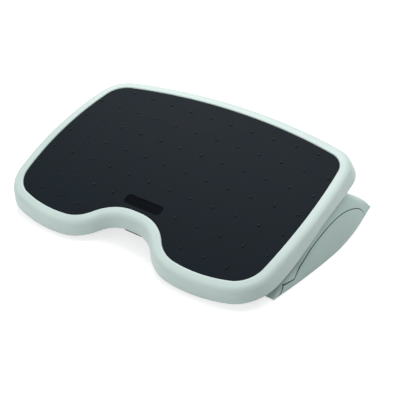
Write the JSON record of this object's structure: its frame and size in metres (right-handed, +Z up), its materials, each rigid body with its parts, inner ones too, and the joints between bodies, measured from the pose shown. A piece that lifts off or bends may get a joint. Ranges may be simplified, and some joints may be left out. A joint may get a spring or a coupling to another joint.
{
  "type": "tilting under-desk footrest",
  "caption": "Under-desk footrest: a crowned rubber-topped platform with a heel notch tilts on an axle between two sliding columns in low pods, with a foot pedal for the height lock.",
  "frame": {"origin": "on the floor, under the middle of the whole footrest", "axes": "+X to the user's right along the longest side, +Y away from the user's heels towards the raised rear edge, +Z up"},
  "size_m": [0.5318, 0.3382, 0.1397],
  "materials": {
    "pale_plastic": "fine moulded texture, pale grey-green",
    "pod_plastic": "fine moulded texture, grey-green",
    "dark_plastic": "moulded, near black",
    "nylon": "natural nylon",
    "mat_rubber": "blue-black, fine grain with small raised bumps",
    "foot_rubber": "black, plain",
    "pressed_steel": "zinc plated",
    "screw_steel": "zinc plated"
  },
  "bodies": {
    "base": {"base_plate": "pod_plastic", "pod_shell_right": "pod_plastic", "pod_shell_left": "pod_plastic", "side_panel_right": "pod_plastic", "side_panel_left": "pod_plastic", "column_guide_right": "dark_plastic", "column_guide_left": "dark_plastic", "bar_bearing_right": "nylon", "bar_bearing_left": "nylon", "rubber_foot_front_right": "foot_rubber", "rubber_foot_front_left": "foot_rubber", "rubber_foot_rear_right": "foot_rubber", "rubber_foot_rear_left": "foot_rubber", "guide_screw_inner_right": "screw_steel", "guide_screw_inner_left": "screw_steel", "guide_screw_outer_right": "screw_steel", "guide_screw_outer_left": "screw_steel", "bearing_screw_front_right": "screw_steel", "bearing_screw_front_left": "screw_steel", "bearing_screw_rear_right": "screw_steel", "bearing_screw_rear_left": "screw_steel", "pod_screw_front_right": "screw_steel", "pod_screw_front_left": "screw_steel", "pod_screw_rear_right": "screw_steel", "pod_screw_rear_left": "screw_steel", "pedal_spring": "screw_steel"},
    "carriage": {"lift_column_right": "dark_plastic", "lift_column_left": "dark_plastic", "tilt_axle": "pressed_steel", "axle_clip_right": "screw_steel", "axle_clip_left": "screw_steel"},
    "pedal": {"lock_bar": "pressed_steel", "foot_pedal": "dark_plastic", "pedal_tread": "foot_rubber", "locking_cam_right": "pressed_steel", "locking_cam_left": "pressed_steel"},
    "platform": {"platform_shell": "pale_plastic", "rubber_mat": "mat_rubber", "hinge_bracket_right": "pressed_steel", "hinge_bracket_left": "pressed_steel", "hinge_bush_right": "nylon", "hinge_bush_left": "nylon", "friction_washer_right": "dark_plastic", "friction_washer_left": "dark_plastic", "bracket_screw_front_right": "screw_steel", "bracket_screw_front_left": "screw_steel", "bracket_screw_rear_right": "screw_steel", "bracket_screw_rear_left": "screw_steel"}
  },
  "joints": [
    {"name": "lift", "type": "slide", "parent": "base", "child": "carriage", "axis": [0, 0, 1], "range_m": [0, 0.0381]},
    {"name": "tilt", "type": "hinge", "parent": "carriage", "child": "platform", "pos_m": [0, -0.00695, 0.072], "axis": [1, 0, 0], "range_deg": [-19.2, 0.8]},
    {"name": "pedal_press", "type": "hinge", "parent": "base", "child": "pedal", "pos_m": [0, -0.04095, 0.015], "axis": [1, 0, 0], "range_deg": [0, 7], "stiffness_Nm_per_rad": 5, "springref_deg": -1.72, "deforming": ["pedal_spring"]}
  ]
}
